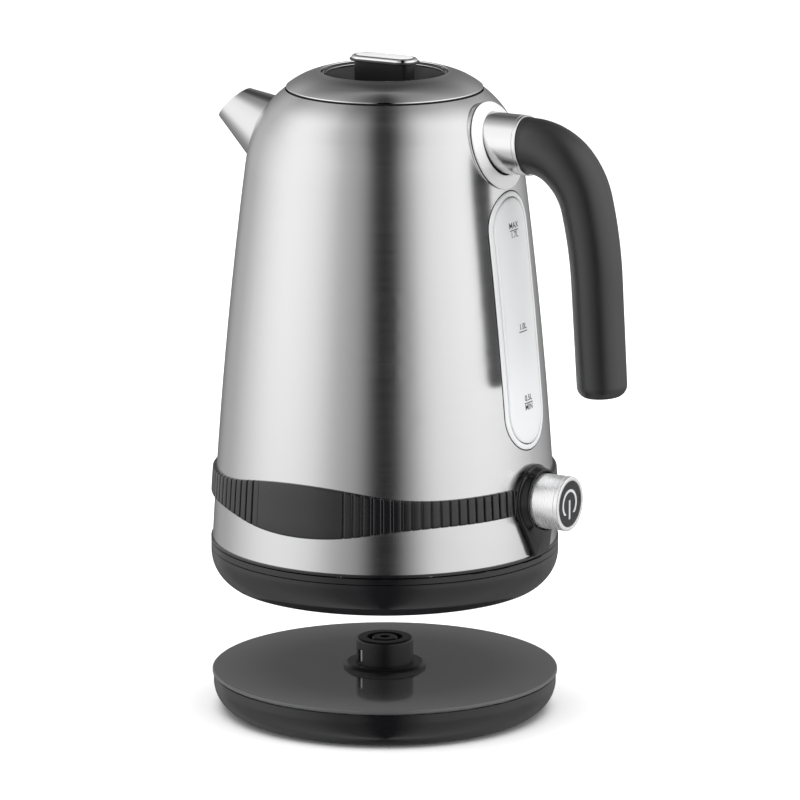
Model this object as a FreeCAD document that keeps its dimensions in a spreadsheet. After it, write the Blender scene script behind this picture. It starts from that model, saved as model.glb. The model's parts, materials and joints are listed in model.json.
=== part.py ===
import FreeCAD, Part
import math
import os

import Sketcher
from FreeCAD import Placement, Rotation, Vector

# An electric kettle held above its power base.  Lengths are in millimetres.
# The row frame has +Z up, the spout on -X and the handle on +X.  Its origin is
# the point where the shared turning axis meets the surface that the base stands on.
# Kettle pieces are drawn with their heights measured from the kettle's own bottom
# rim, and the Placement of each one lifts it to its place over the base.

SIZES = {
    # power base, heights above the table
    "base_top": 18.5,
    "base_radius": 79.7,
    "base_foot_radius": 71.5,
    "base_bend": 13.9,
    "base_cover": 2.2,
    "base_wall": 2.2,
    "post_radius": 13.15,
    "post_rise": 14.0,
    "flange_radius": 19.0,
    "flange_rise": 2.4,
    "pin_hole": 2.4,
    "slot_inner": 5.9,
    "slot_outer": 8.2,
    "slot_depth": 9.5,
    "gland_radius": 5.5,
    "gland_bore": 3.4,
    "pad_radius": 7.0,
    "pad_circle": 50.0,
    "pad_thick": 1.5,
    # kettle, heights above its bottom rim
    "hover": 42.6,
    "seam_radius": 79.2,
    "seam_rise": 20.5,
    "cup_radius": 79.9,
    "rim_foot_radius": 72.5,
    "cup_bend": 17.0,
    "cup_wall": 2.2,
    "shell_wall": 0.8,
    "belly_curve": 2380.0,
    "shoulder_radius": 63.4,
    "shoulder_rise": 193.4,
    "shoulder_curve": 76.6,
    "collar_radius": 58.6,
    "collar_rise": 212.0,
    "collar_curve": 44.5,
    "mouth_radius": 45.2,
    "mouth_rise": 228.2,
    # lid
    "lid_radius": 44.8,
    "lid_rise": 228.4,
    "dome_curve": 35.2,
    "dish_radius": 29.7,
    "dish_rise": 236.6,
    "dish_depth": 9.0,
    "lid_skin": 0.8,
    "plug_radius": 40.2,
    "plug_depth": 15.6,
    "grip_long": 29.0,
    "grip_wide": 9.5,
    "cap_long": 34.3,
    "cap_wide": 15.5,
    "cap_top": 243.3,
    "cap_thick": 2.6,
    # chamber and heater
    "floor_rise": 62.0,
    "plate_thick": 2.5,
    "plate_radius": 70.0,
    # control unit in the kettle's underside
    "control_radius": 26.0,
    "control_top": 25.0,
    "socket_radius": 13.7,
    "socket_depth": 16.8,
    "socket_face": 3.0,
    # spout: a cone whose apex lies in front of the mouth
    "apex_out": 106.36,
    "apex_rise": 227.87,
    "spout_half_angle": 17.45,
    "spout_fall": 27.45,
    "spout_wall": 1.0,
    "lip_out": 84.75,
    "lip_rise": 209.0,
    "lip_slope": 46.17,
    # handle
    "handle_rise": 208.8,
    "flange_rise_mid": 207.1,
    "flange_tilt": 18.0,
    "flange_reach": 57.6,
    "flange_rim_radius": 20.6,
    "collar_hole_radius": 14.9,
    "sleeve_radius": 13.6,
    "sleeve_wall": 1.5,
    "sleeve_end": 74.9,
    "sleeve_lean": 7.5,
    "core_radius": 6.0,
    "grip_start": 76.4,
    "grip_end_rise": 97.4,
    "grip_tip_round": 5.5,
    # level window
    "window_low": 68.0,
    "window_high": 187.0,
    "window_half": 17.5,
    "lens_half": 12.2,
    # trim band
    "band_rise": 47.45,
    "band_half": 6.0,
    "band_swell": 6.1,
    "band_proud": 1.9,
    "swell_span": 66.0,
    # power button
    "button_rise": 46.0,
    "button_radius": 12.5,
    "button_face": 97.0,
    "button_back": 82.2,
    "button_travel": 3.0,
    "bezel_radius": 16.6,
    "bezel_proud": 6.8,
    "bezel_tail": 7.5,
    "stem_radius": 4.0,
}

# the grip's centre line runs straight to grip_start and then follows these bends,
# each given as (turned down by the end, in degrees; bend radius; rod radius at the end)
GRIP_BENDS = [(43.2, 26.7, 12.65), (76.1, 34.5, 11.95), (86.5, 194.0, 11.65)]
GRIP_FIRST_RADIUS = 12.7
GRIP_TIP_RADIUS = 11.4

CLEAR = 0.4          # gap between pieces that move against each other
FAR = 200.0          # longer than the kettle, for cutting tools
RIGHT_ANGLE = 90.0
FULL_TURN = 360.0


class Size:
    """A length that knows both its value and its formula in the sheet."""

    def __init__(self, value, formula):
        self.value = value
        self.formula = formula

    @staticmethod
    def of(other):
        return other if isinstance(other, Size) else Size(other, repr(float(other)))

    def __add__(self, other):
        other = Size.of(other)
        return Size(self.value + other.value, f"({self.formula} + {other.formula})")

    def __sub__(self, other):
        other = Size.of(other)
        return Size(self.value - other.value, f"({self.formula} - {other.formula})")

    def __rsub__(self, other):
        return Size.of(other) - self

    def __mul__(self, other):
        other = Size.of(other)
        return Size(self.value * other.value, f"({self.formula} * {other.formula})")

    def __neg__(self):
        return Size(-self.value, f"(0 - {self.formula})")

    __radd__ = __add__
    __rmul__ = __mul__


class Sheet:
    """The driving sizes: one plain number per cell, each with an alias."""

    def __init__(self, doc, sizes):
        self.cells = doc.addObject("Spreadsheet::Sheet", "Sizes")
        for row, (alias, number) in enumerate(sizes.items(), 1):
            self.cells.set(f"A{row}", alias)
            self.cells.set(f"B{row}", str(number))
            self.cells.setAlias(f"B{row}", alias)
        doc.recompute()

    def __getattr__(self, alias):
        return Size(float(self.cells.get(alias)), f"Sizes.{alias}")


doc = FreeCAD.newDocument("kettle")
sheet = Sheet(doc, SIZES)
kettle_lift = sheet.base_top + sheet.hover
finished = []
heights = {}         # the local height that each placed feature was given


# ---------------------------------------------------------------- helpers

def bind(feature, **sizes):
    """Set properties of a feature and tie them to the sheet."""
    for name, size in sizes.items():
        size = Size.of(size)
        setattr(feature, name, size.value)
        feature.setExpression(name, size.formula)
    return feature


def place(feature, x=0, y=0, z=0, axis=None, angle=0):
    """Put a feature at x, y, z, turned by a fixed angle about an axis."""
    if axis is not None:
        feature.Placement = Placement(Vector(), Rotation(axis, angle))
    for letter, size in (("x", x), ("y", y), ("z", z)):
        feature.setExpression(f"Placement.Base.{letter}", Size.of(size).formula)
    heights[feature.Name] = Size.of(z)
    return feature


def keep(feature, label, lift=None):
    """Name a finished sub-part and lift it to its place in the row frame."""
    feature.Label = label
    if lift is not None:
        rise = heights.get(feature.Name, Size.of(0)) + lift
        feature.setExpression("Placement.Base.z", rise.formula)
    finished.append(feature)
    return feature


def on_kettle(feature, label):
    return keep(feature, label, kettle_lift)


def origin_plane(body, role):
    return next(item for item in body.Origin.OriginFeatures if item.Role == role)


def arc_middle(start, end, radius):
    """The middle of the short arc; a positive radius bulges to the right of the way."""
    chord = end - start
    sagitta = abs(radius) - math.sqrt(radius * radius - chord.Length ** 2 / 4)
    right = Vector(chord.y, -chord.x, 0).normalize()
    return (start + end) / 2 + right * math.copysign(sagitta, radius)


def outline(body, role, corners):
    """A closed sketch through corners given as (across, up) or (across, up, radius).

    A radius makes the stretch to the next corner an arc.  Every corner and every
    radius is constrained to its formula.
    """
    sketch = body.newObject("Sketcher::SketchObject", "Outline")
    sketch.AttachmentSupport = (origin_plane(body, role), "")
    sketch.MapMode = "FlatFace"
    spots = [Vector(Size.of(c[0]).value, Size.of(c[1]).value, 0) for c in corners]
    starts = []
    ends = []
    for index, corner in enumerate(corners):
        here = spots[index]
        there = spots[(index + 1) % len(corners)]
        if len(corner) == 2:
            sketch.addGeometry(Part.LineSegment(here, there), False)
            starts.append(1)
            ends.append(2)
            continue
        radius = Size.of(corner[2]).value
        middle = arc_middle(here, there, radius)
        # a sketch keeps its arcs counter-clockwise, so an arc that turns right is drawn backwards
        if radius > 0:
            sketch.addGeometry(Part.Arc(here, middle, there), False)
            starts.append(1)
            ends.append(2)
        else:
            sketch.addGeometry(Part.Arc(there, middle, here), False)
            starts.append(2)
            ends.append(1)
    count = len(corners)
    for index in range(count):
        following = (index + 1) % count
        sketch.addConstraint(
            Sketcher.Constraint("Coincident", index, ends[index], following, starts[following]))
    for index, corner in enumerate(corners):
        for kind, axis_line, size in (("DistanceX", -2, corner[0]), ("DistanceY", -1, corner[1])):
            size = Size.of(size)
            if size.formula == "0.0":
                sketch.addConstraint(
                    Sketcher.Constraint("PointOnObject", index, starts[index], axis_line))
                continue
            number = sketch.addConstraint(
                Sketcher.Constraint(kind, -1, 1, index, starts[index], size.value))
            sketch.setExpression(f"Constraints[{number}]", size.formula)
        if len(corner) == 3:
            size = Size.of(corner[2])
            size = size if size.value > 0 else -size
            number = sketch.addConstraint(Sketcher.Constraint("Radius", index, size.value))
            sketch.setExpression(f"Constraints[{number}]", size.formula)
    return sketch


def turned(name, corners):
    """A body of revolution about Z from an outline of (radius, height) corners."""
    body = doc.addObject("PartDesign::Body", name)
    sketch = outline(body, "XZ_Plane", corners)
    turn = body.newObject("PartDesign::Revolution", "Turn")
    turn.Profile = sketch
    turn.ReferenceAxis = (sketch, ["V_Axis"])
    turn.Angle = FULL_TURN
    return body


def extruded(name, role, corners, length, both_ways=False):
    """A body padded from an outline on one of its origin planes."""
    body = doc.addObject("PartDesign::Body", name)
    sketch = outline(body, role, corners)
    pad = body.newObject("PartDesign::Pad", "Pad")
    pad.Profile = sketch
    bind(pad, Length=length)
    pad.Midplane = both_ways
    return body


def cylinder(radius, height, x=0, y=0, z=0, along=None):
    """A round bar that starts at x, y, z and runs up, or along +X."""
    bar = doc.addObject("Part::Cylinder", "Bar")
    bind(bar, Radius=radius, Height=height)
    if along == "X":
        return place(bar, x, y, z, Vector(0, 1, 0), RIGHT_ANGLE)
    if along == "Y":
        return place(bar, x, y, z, Vector(1, 0, 0), -RIGHT_ANGLE)
    return place(bar, x, y, z)


def block(long, wide, high, x=0, y=0, z=0):
    """A box centred on x and y, standing on z."""
    box = doc.addObject("Part::Box", "Block")
    bind(box, Length=long, Width=wide, Height=high)
    return place(box, Size.of(x) - Size.of(long) * 0.5, Size.of(y) - Size.of(wide) * 0.5, z)


def cut(base, tool):
    result = doc.addObject("Part::Cut", "Cut")
    result.Base = base
    result.Tool = tool
    return result


def common(base, tool):
    result = doc.addObject("Part::Common", "Common")
    result.Base = base
    result.Tool = tool
    return result


def fuse(*pieces):
    result = doc.addObject("Part::MultiFuse", "Fuse")
    result.Shapes = list(pieces)
    return result


def group(*pieces):
    result = doc.addObject("Part::Compound", "Group")
    result.Links = list(pieces)
    return result


def drawn(shape):
    """A feature that holds a shape made with Part's own functions."""
    feature = doc.addObject("Part::Feature", "Drawn")
    feature.Shape = shape
    return feature


def around(count, radius, first_angle=0.0):
    """Points evenly spaced on a circle about the turning axis."""
    for index in range(count):
        angle = math.radians(first_angle + index * FULL_TURN / count)
        yield Size.of(radius) * math.cos(angle), Size.of(radius) * math.sin(angle)


def screw(x, y, z, shank_radius, length, head_radius, head_rise):
    """A pan-head screw with its head down at z and its shank pointing up."""
    head = cylinder(head_radius, head_rise, x, y, z)
    shank = cylinder(shank_radius, length, x, y, Size.of(z) + head_rise)
    slot = block(head_radius * 1.4, 0.8, head_rise * 0.6, x, y, z)
    return cut(fuse(head, shank), slot)


def tilted(feature, x, z, fall):
    """Turn a Z-axis piece to point along +X, falling by an angle, from x, z."""
    return place(feature, x, 0, z, Vector(0, 1, 0), RIGHT_ANGLE + fall)


def soft_corners(box, radius):
    """Round the four upright edges of a box."""
    doc.recompute()
    rounded = doc.addObject("Part::Fillet", "Rounded")
    rounded.Base = box
    rounded.Edges = [(number, radius, radius) for number, edge in enumerate(box.Shape.Edges, 1)
                     if abs(edge.tangentAt(0).z) > 0.9]
    return rounded


def capsule(name, half, low, high, length):
    """An upright capsule outline in Y and Z, padded along +X."""
    bend = half * 1.001
    corners = [
        (half, low + half),
        (half, high - half, bend),
        (-half, high - half),
        (-half, low + half, bend),
    ]
    return extruded(name, "YZ_Plane", corners, length)


# ---------------------------------------------------------------- power base

def make_base():
    top = sheet.base_top
    under_cover = top - sheet.base_cover
    radius = sheet.base_radius
    foot = sheet.base_foot_radius
    wall = sheet.base_wall
    bend = sheet.base_bend
    shoulder = under_cover - 3.8

    cover = turned("BaseCover", [
        (sheet.post_radius + CLEAR, under_cover),
        (radius - 1.2, under_cover),
        (radius, under_cover + 0.9),
        (radius, top - 0.5),
        (radius - 0.5, top),
        (sheet.post_radius + CLEAR, top),
    ])
    screw_circle = 38
    bosses = [cut(cylinder(3.6, under_cover - 3.1, x, y, 3.1), cylinder(1.65, 7, x, y, 2))
              for x, y in around(3, screw_circle, 30)]
    keep(fuse(cover, *bosses), "base_cover")

    tray = turned("BaseTray", [
        (radius - 0.6, under_cover),
        (radius - wall, under_cover),
        (radius - wall, shoulder, 1 - bend),
        (foot, wall + 0.8),
        (foot - 3, wall + 0.8),
        (foot - 3, 0.6),
        (foot, 0.6, bend),
        (radius - 0.6, shoulder),
    ])
    outlet_rise = 10.0
    outlet = cylinder(sheet.gland_radius, 40, 0, 50, outlet_rise, "Y")
    keep(cut(tray, outlet), "base_tray")

    gland = cylinder(sheet.gland_radius, 13, 0, radius - 12, outlet_rise, "Y")
    inner_lip = cylinder(sheet.gland_radius + 0.7, 2, 0, radius - 12, outlet_rise, "Y")
    gland_bore = cylinder(sheet.gland_bore, 20, 0, radius - 14, outlet_rise, "Y")
    keep(cut(fuse(gland, inner_lip), gland_bore), "cord_gland")

    clamp_block = block(18, 8, 10, 0, 54, outlet_rise - 6)
    clamp_bore = cylinder(sheet.gland_bore, 12, 0, 48, outlet_rise, "Y")
    keep(cut(clamp_block, clamp_bore), "cord_clamp")

    hub = 30
    plate = turned("BaseBottom", [
        (0, 0),
        (hub, 0),
        (hub, sheet.pad_thick),
        (foot - 3.3, sheet.pad_thick),
        (foot - 3.3, 3.0),
        (0, 3.0),
    ])
    holes = [cylinder(1.7, 6, x, y, -1) for x, y in around(3, screw_circle, 30)]
    keep(cut(plate, fuse(*holes)), "base_bottom")

    pads = [cylinder(sheet.pad_radius, sheet.pad_thick, x, y, 0)
            for x, y in around(4, sheet.pad_circle, 45)]
    keep(group(*pads), "base_pads")

    screws = [screw(x, y, 0.1, 1.6, 7, 3.0, 1.3) for x, y in around(3, screw_circle, 30)]
    keep(group(*screws), "base_screws")


def make_connector():
    top = sheet.base_top
    post_top = top + sheet.post_rise
    radius = sheet.post_radius

    collar = turned("ConnectorFlange", [
        (radius + 0.1, top),
        (sheet.flange_radius, top),
        (sheet.flange_radius, top + 1.2),
        (sheet.flange_radius - 1.6, top + sheet.flange_rise),
        (radius + 0.1, top + sheet.flange_rise),
    ])
    keep(collar, "connector_flange")

    slot_floor = post_top - sheet.slot_depth
    core_bore = sheet.slot_inner + CLEAR
    post = turned("ConnectorPost", [
        (core_bore, 12),
        (radius, 12),
        (radius, post_top - 1.2, 1.3),
        (radius - 1.2, post_top),
        (sheet.slot_outer, post_top),
        (sheet.slot_outer, slot_floor),
        (core_bore, slot_floor),
    ])
    blade_low = top + sheet.flange_rise + 1
    first_blade = 240
    windows = [cylinder(2.2, 6, x, y, blade_low) for x, y in around(2, radius, first_blade)]
    keep(cut(post, fuse(*windows)), "connector_post")
    blades = [cylinder(0.9, 5.4, x, y, blade_low + 0.3)
              for x, y in around(2, radius - 1.3, first_blade)]
    keep(group(*blades), "contact_blades")

    core = turned("ConnectorCore", [
        (sheet.pin_hole, 12.6),
        (sheet.slot_inner, 12.6),
        (sheet.slot_inner, post_top - 0.6),
        (sheet.slot_inner - 0.6, post_top),
        (sheet.pin_hole, post_top),
    ])
    keep(core, "connector_core")

    carrier = turned("ContactCarrier", [
        (0, 4.0),
        (21, 4.0),
        (21, 11.9),
        (0, 11.9),
    ])
    keep(carrier, "contact_carrier")


# ---------------------------------------------------------------- kettle body

def shell_side(inset):
    """The outer wall's curve from seam to mouth, moved inwards by inset."""
    return [
        (sheet.seam_radius - inset, sheet.seam_rise, sheet.belly_curve),
        (sheet.shoulder_radius - inset, sheet.shoulder_rise, sheet.shoulder_curve),
        (sheet.collar_radius - inset * 0.93, sheet.collar_rise - inset * 0.37, sheet.collar_curve),
        (sheet.mouth_radius - inset * 0.64, sheet.mouth_rise - inset * 0.77),
    ]


def shell_core(inset):
    """Everything inside the wall's curve, as a solid to cut or trim other pieces with."""
    side = shell_side(inset)
    return turned("ShellCore", side + [(0, side[-1][1]), (0, sheet.seam_rise)])


def wall_ring(outer_inset, inner_inset):
    return cut(shell_core(outer_inset), shell_core(inner_inset))


def spout_cone(inset):
    """A long cone on the spout's axis, moved inwards by inset."""
    tangent = math.tan(math.radians(SIZES["spout_half_angle"]))
    reach = 62
    cone = doc.addObject("Part::Cone", "SpoutCone")
    start = 12
    bind(cone, Radius1=start * tangent - inset, Radius2=reach * tangent - inset, Height=reach - start)
    fall = math.radians(SIZES["spout_fall"])
    apex_out = -sheet.apex_out
    return tilted(cone, apex_out + start * math.cos(fall),
                  sheet.apex_rise - start * math.sin(fall), SIZES["spout_fall"])


def make_shell():
    outer = shell_side(0)
    inner = shell_side(sheet.shell_wall)
    corners = outer + [inner[3]]
    for index in (2, 1, 0):
        corner = inner[index]
        corners[-1] = (corners[-1][0], corners[-1][1], -inner[index][2])
        corners.append((corner[0], corner[1]))
    shell = turned("BodyShell", corners)
    window = place(capsule("WindowHole", sheet.window_half, sheet.window_low, sheet.window_high, 60), 40)
    button = cylinder(6.6, 30, 60, 0, sheet.button_rise, "X")
    bolt = cylinder(3.2, 30, 45, 0, sheet.handle_rise, "X")
    on_kettle(cut(shell, fuse(spout_cone(sheet.spout_wall), window, button, bolt)), "body_shell")


def make_spout():
    tube = cut(spout_cone(0), spout_cone(sheet.spout_wall))
    outside = cut(tube, shell_core(0))
    # the lip is cut by a plane that climbs from the tip towards the body
    trim = block(100, 80, 60)
    slope = SIZES["lip_slope"]
    below = 20
    place(trim, -sheet.lip_out - below * math.cos(math.radians(slope)), -40,
          sheet.lip_rise - below * math.sin(math.radians(slope)), Vector(0, 1, 0), -slope)
    on_kettle(cut(outside, trim), "spout")

    half_wide = 16
    low = 181
    high = 217
    plate_out = 49
    frame_blank = capsule("FilterFrame", half_wide, low, high, 25)
    frame_hole = capsule("FilterOpening", half_wide - 1.6, low + 1.6, high - 1.6, 30)
    place(frame_blank, -plate_out - 25)
    place(frame_hole, -plate_out - 28)
    frame = common(cut(frame_blank, frame_hole), shell_core(sheet.shell_wall))
    on_kettle(frame, "filter_frame")

    mesh = place(capsule("FilterMesh", half_wide - 1.6, low + 1.6, high - 1.6, 0.8), -plate_out - 0.8)
    holes = []
    for row in range(7):
        for column in range(-2, 3):
            holes.append(cylinder(1.3, 6, -plate_out - 3, column * 4.4, low + 5.4 + row * 4.2, "X"))
    on_kettle(cut(mesh, fuse(*holes)), "filter_mesh")


def make_window():
    face = capsule("WindowFace", sheet.window_half - 0.15, sheet.window_low + 0.15,
                   sheet.window_high - 0.15, 60)
    lens = capsule("WindowLens", sheet.lens_half, sheet.window_low + 5.3, sheet.window_high - 5.3, 60)
    skin = common(wall_ring(-0.3, 2.0), place(face, 40))
    raised = common(wall_ring(-1.0, 1.0), place(lens, 40))
    on_kettle(fuse(skin, raised), "water_window")

    rim = capsule("GasketRim", sheet.window_half + 4, sheet.window_low - 4, sheet.window_high + 4, 60)
    hole = capsule("GasketHole", sheet.window_half, sheet.window_low, sheet.window_high, 62)
    around_window = cut(place(rim, 40), place(hole, 39))
    on_kettle(common(wall_ring(sheet.shell_wall, 2.0), around_window), "window_gasket")

    rim = capsule("ClampRim", sheet.window_half + 4, sheet.window_low - 4, sheet.window_high + 4, 60)
    hole = capsule("ClampHole", sheet.window_half - 4, sheet.window_low + 4, sheet.window_high - 4, 62)
    clamp = cut(place(rim, 40), place(hole, 39))
    on_kettle(common(wall_ring(2.0, 3.4), clamp), "window_clamp")


def band_outline():
    """The band seen along Y: straight, with a smooth swell in the middle."""
    centre = sheet.band_rise
    half = sheet.band_half
    swell = sheet.band_swell
    span = SIZES["swell_span"]
    rise = SIZES["band_swell"]
    bend = ((span / 2) ** 2 + (rise / 2) ** 2) / rise
    mid = half + swell * 0.5
    far = sheet.seam_radius + 6
    return [
        (-far, centre - half),
        (-sheet.swell_span, centre - half, -bend),
        (-sheet.swell_span * 0.5, centre - mid, bend),
        (sheet.swell_span * 0.5, centre - mid, -bend),
        (sheet.swell_span, centre - half),
        (far, centre - half),
        (far, centre + half),
        (sheet.swell_span, centre + half, -bend),
        (sheet.swell_span * 0.5, centre + mid, bend),
        (-sheet.swell_span * 0.5, centre + mid, -bend),
        (-sheet.swell_span, centre + half),
        (-far, centre + half),
    ]


def bezel_outline(margin):
    """A circle round the button with a tail down to the seam, as seen along X."""
    radius = sheet.bezel_radius + margin
    across = radius * 0.82
    rise = radius * 0.5724
    centre = sheet.button_rise
    tail = sheet.bezel_tail + margin
    return [
        (-tail, sheet.seam_rise - margin),
        (tail, sheet.seam_rise - margin),
        (across, centre - rise, radius),
        (across, centre + rise, radius),
        (-across, centre + rise, radius),
        (-across, centre - rise),
    ]


def make_band():
    slab = extruded("BandSlab", "XZ_Plane", band_outline(), 2 * FAR, both_ways=True)
    ring = common(wall_ring(-sheet.band_proud, 0), slab)
    gap = place(extruded("BezelGap", "YZ_Plane", bezel_outline(0.1), 60), 40)
    on_kettle(cut(ring, gap), "side_band")

    bezel = place(extruded("Bezel", "YZ_Plane", bezel_outline(0), 60), 40)
    button = cylinder(sheet.button_radius + CLEAR, 60, 50, 0, sheet.button_rise, "X")
    on_kettle(cut(common(wall_ring(-sheet.bezel_proud, 0), bezel), button), "switch_bezel")


# ---------------------------------------------------------------- handle

def handle_route(first_out, last_rise):
    """The handle's centre line in the XZ plane: straight, the bends, straight."""
    def heading(angle):
        return Vector(math.cos(angle), 0, -math.sin(angle))

    def inwards(angle):
        return Vector(-math.sin(angle), 0, -math.cos(angle))

    spot = Vector(SIZES["grip_start"], 0, SIZES["handle_rise"])
    edges = [Part.makeLine(Vector(first_out, 0, spot.z), spot)]
    angle = 0.0
    for turn, radius, _ in GRIP_BENDS:
        turn = math.radians(turn)
        centre = spot + inwards(angle) * radius
        middle = centre - inwards((angle + turn) / 2) * radius
        end = centre - inwards(turn) * radius
        edges.append(Part.Arc(spot, middle, end).toShape())
        spot = end
        angle = turn
    end = spot + heading(angle) * ((spot.z - last_rise) / math.sin(angle))
    edges.append(Part.makeLine(spot, end))
    return edges


def rod_along(edges, radii):
    """A round rod along tangent edges; radii are given at each edge's ends."""
    pieces = []
    for edge, start_radius, end_radius in zip(edges, radii, radii[1:]):
        first = edge.valueAt(edge.FirstParameter)
        last = edge.valueAt(edge.LastParameter)
        rings = []
        for spot, radius, parameter in ((first, start_radius, edge.FirstParameter),
                                        (last, end_radius, edge.LastParameter)):
            circle = Part.makeCircle(radius, spot, edge.tangentAt(parameter))
            rings.append(Part.Wire(circle))
        pieces.append(Part.Wire(edge).makePipeShell(rings, True, True))
    return pieces[0].fuse(pieces[1:]).removeSplitter()


def make_handle():
    rise = sheet.handle_rise
    root = -16.0         # far enough back to lie inside the wall before trimming

    def on_flange(feature):
        return place(feature, sheet.flange_reach, 0, sheet.flange_rise_mid,
                     Vector(0, 1, 0), RIGHT_ANGLE - SIZES["flange_tilt"])

    rim = sheet.flange_rim_radius
    flange = turned("HandleFlange", [
        (rim - 1.0, root),
        (rim, root),
        (rim, -0.4),
        (rim - 0.3, -0.1),
        (rim - 1.0, -0.1),
    ])
    on_kettle(cut(on_flange(flange), shell_core(0)), "handle_flange")

    collar = turned("HandleCollar", [
        (0, root),
        (rim - 1.1, root),
        (rim - 1.1, 0),
        (rim - 0.4, 0.5),
        (rim - 0.4, 1.2),
        (sheet.collar_hole_radius, 2.8),
        (sheet.collar_hole_radius, 1.0),
        (0, 1.0),
    ])
    bore = cylinder(sheet.sleeve_radius + 0.1, 60, 40, 0, rise, "X")
    on_kettle(cut(cut(on_flange(collar), shell_core(0)), bore), "handle_collar")

    # the sleeve ends, and the grip starts, at a plane that leans back towards the body
    lean = SIZES["sleeve_lean"]
    half_block = 30

    def leaning(reach, side):
        tool = doc.addObject("Part::Box", "Leaning")
        bind(tool, Length=2 * half_block, Width=2 * half_block, Height=2 * half_block)
        turn = math.radians(lean)
        along = -2 * half_block if side < 0 else 0
        return place(tool, reach + along * math.cos(turn) + half_block * math.sin(turn), -half_block,
                     rise + along * math.sin(turn) - half_block * math.cos(turn),
                     Vector(0, 1, 0), -lean)

    sleeve = cylinder(sheet.sleeve_radius, 50, 40, 0, rise, "X")
    inside = cylinder(sheet.sleeve_radius - sheet.sleeve_wall, 60, 30, 0, rise, "X")
    tube = cut(cut(sleeve, inside), shell_core(0))
    on_kettle(cut(tube, leaning(sheet.sleeve_end, 1)), "handle_sleeve")

    # the grip: full where it meets the sleeve, slimmer after the bends, round at its end
    thick = SIZES["sleeve_radius"]
    edges = handle_route(SIZES["sleeve_end"] - 8, SIZES["grip_end_rise"])
    radii = [thick, GRIP_FIRST_RADIUS] + [bend[2] for bend in GRIP_BENDS] + [GRIP_TIP_RADIUS]
    blank = rod_along(edges, radii)
    end_face = min(blank.Faces, key=lambda face: face.CenterOfMass.z)
    blank = blank.makeFillet(SIZES["grip_tip_round"], end_face.Edges)
    core_edges = handle_route(61.5, SIZES["grip_end_rise"] + 14)
    core = rod_along(core_edges, [SIZES["core_radius"]] * (len(core_edges) + 1))
    grip = cut(drawn(blank.cut(core)), leaning(sheet.sleeve_end + 0.1, -1))
    on_kettle(grip, "handle_grip")
    on_kettle(drawn(core), "handle_core")

    bracket = cylinder(13, 30, 40, 0, rise, "X")
    hole = cylinder(2.9, 40, 40, 0, rise, "X")
    on_kettle(cut(common(wall_ring(sheet.shell_wall, 2.8), bracket), hole), "handle_bracket")
    bolt_head = cylinder(5.0, 3, 47.2, 0, rise, "X")
    bolt_shank = cylinder(2.6, 11.3, 50.2, 0, rise, "X")
    on_kettle(fuse(bolt_head, bolt_shank), "handle_bolt")


# ---------------------------------------------------------------- underside and heater

def make_underside():
    seam = sheet.seam_rise
    foot = sheet.rim_foot_radius
    radius = sheet.cup_radius
    steel = sheet.seam_radius
    wall = sheet.cup_wall
    rim = seam - 1.8
    bend_top = sheet.seam_rise * 0.68
    line_rise = seam - 4.6
    cup = turned("BottomCup", [
        (24.5, 0),
        (foot, 0, sheet.cup_bend),
        (radius, bend_top),
        (radius, line_rise - 0.25),
        (radius - 0.4, line_rise),
        (radius, line_rise + 0.25),
        (radius, rim - 0.3),
        (radius - 0.3, rim),
        (radius - wall, rim),
        (radius - wall, bend_top, 1 - sheet.cup_bend),
        (foot, wall),
        (24.5, wall),
    ])
    holes = [cylinder(1.8, 6, x, y, -1) for x, y in around(3, 52, 30)]
    on_kettle(cut(cup, fuse(*holes)), "bottom_cup")

    ring = turned("SeamRing", [
        (steel - 6, rim + 0.6),
        (radius, rim + 0.6),
        (radius, seam - 0.1),
        (steel - 2.2, seam - 0.1),
        (steel - 2.2, seam + 4),
        (steel - 6, seam + 4),
    ])
    on_kettle(ring, "seam_ring")

    plate_low = 25.5
    plate = turned("Chassis", [
        (sheet.control_radius - 3, plate_low),
        (steel - 3.2, plate_low),
        (steel - 3.2, plate_low + 2),
        (sheet.control_radius - 3, plate_low + 2),
    ])
    posts = [cylinder(4, plate_low - 2.4, x, y, 2.4) for x, y in around(3, 52, 30)]
    bores = [cylinder(1.65, 16, x, y, 1) for x, y in around(3, 52, 30)]
    on_kettle(cut(fuse(plate, *posts), fuse(*bores)), "chassis")
    screws = [screw(x, y, 0.3, 1.6, 9, 1.75, 1.5) for x, y in around(3, 52, 30)]
    on_kettle(group(*screws), "bottom_screws")


def make_control():
    face = sheet.socket_face
    inside = sheet.socket_radius
    outside = 24.0
    roof = sheet.socket_depth
    control = turned("Control", [
        (inside, face),
        (outside, face),
        (outside, sheet.control_top),
        (sheet.control_radius + 1, sheet.control_top),
        (sheet.control_radius + 1, sheet.control_top + 0.4),
        (0, sheet.control_top + 0.4),
        (0, roof),
        (inside, roof),
    ])
    on_kettle(control, "control_socket")

    ring = turned("ContactRing", [
        (sheet.slot_inner + 0.7, 6.5),
        (sheet.slot_outer - 0.7, 6.5),
        (sheet.slot_outer - 0.7, roof),
        (sheet.slot_inner + 0.7, roof),
    ])
    on_kettle(ring, "socket_ring")
    on_kettle(cylinder(sheet.pin_hole - 0.6, roof - 5.5, 0, 0, 5.5), "earth_pin")
    terminals = [block(5, 0.8, 12, x, y, sheet.control_top + 0.4) for x, y in around(3, 9)]
    on_kettle(group(*terminals), "control_terminals")


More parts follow.
